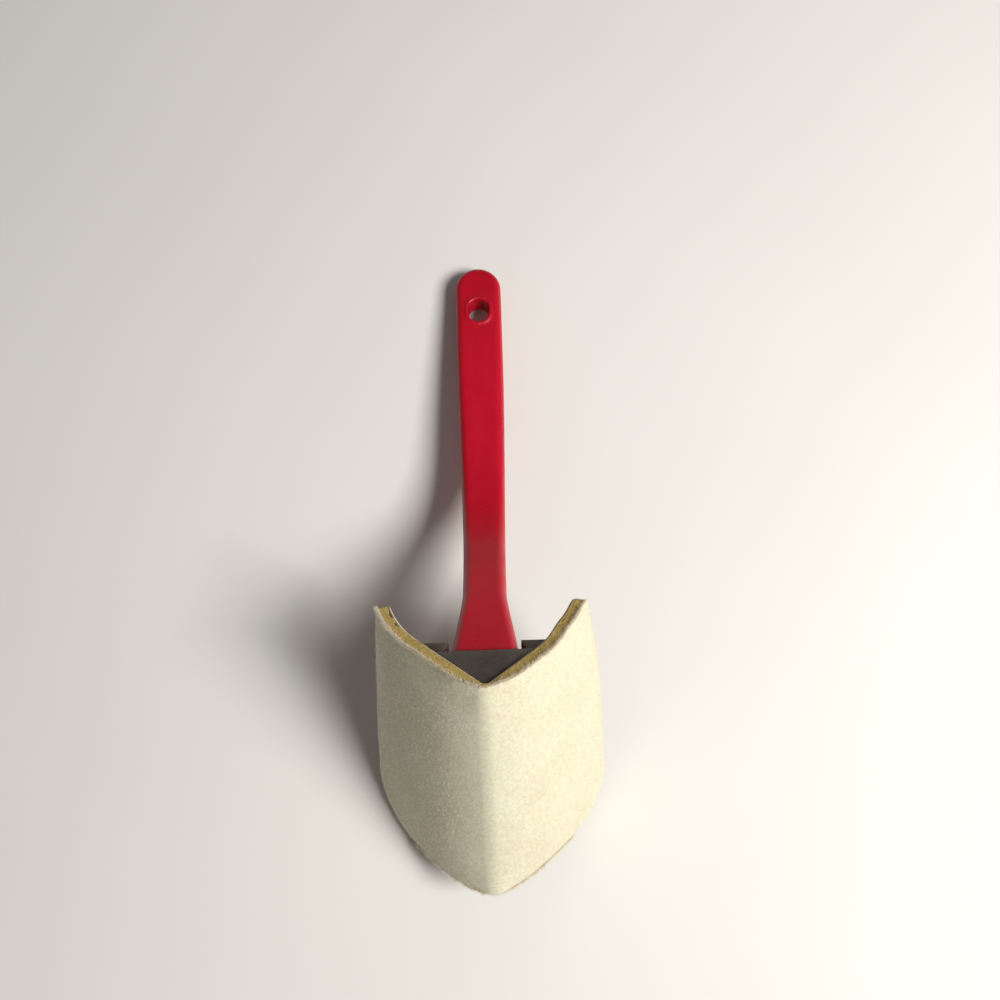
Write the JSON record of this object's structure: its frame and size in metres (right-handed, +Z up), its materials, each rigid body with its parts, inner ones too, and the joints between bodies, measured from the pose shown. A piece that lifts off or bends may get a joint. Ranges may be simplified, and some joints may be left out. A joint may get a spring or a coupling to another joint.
{
  "type": "inside-corner paint pad",
  "caption": "Hand tool for painting inside corners: a folded foam-and-fabric pad on a plastic vee head, which slides onto a bent flat handle with a hang hole.",
  "frame": {"origin": "middle of the footprint, on the surface the tool lies on", "axes": "+Y from the pad towards the handle's hang hole, +X to the right across the pad, +Z up; the tool lies on its back"},
  "size_m": [0.065, 0.1864, 0.0732],
  "materials": {
    "handle_plastic": "satin moulded polypropylene",
    "head_plastic": "satin moulded plastic",
    "adhesive": "matt tape",
    "backing": "matt film",
    "foam": "open-cell foam",
    "pile": "short dense pile"
  },
  "bodies": {
    "head": {"head_frame": "head_plastic", "adhesive_strip_left": "adhesive", "adhesive_strip_right": "adhesive", "backing_sheet": "backing", "foam_pad": "foam", "pile_fabric": "pile"},
    "handle": {"handle": "handle_plastic"}
  },
  "joints": [
    {"name": "handle_slide", "type": "slide", "parent": "head", "child": "handle", "axis": [0, 0.7071, 0.7071], "range_m": [0, 0.043]}
  ]
}
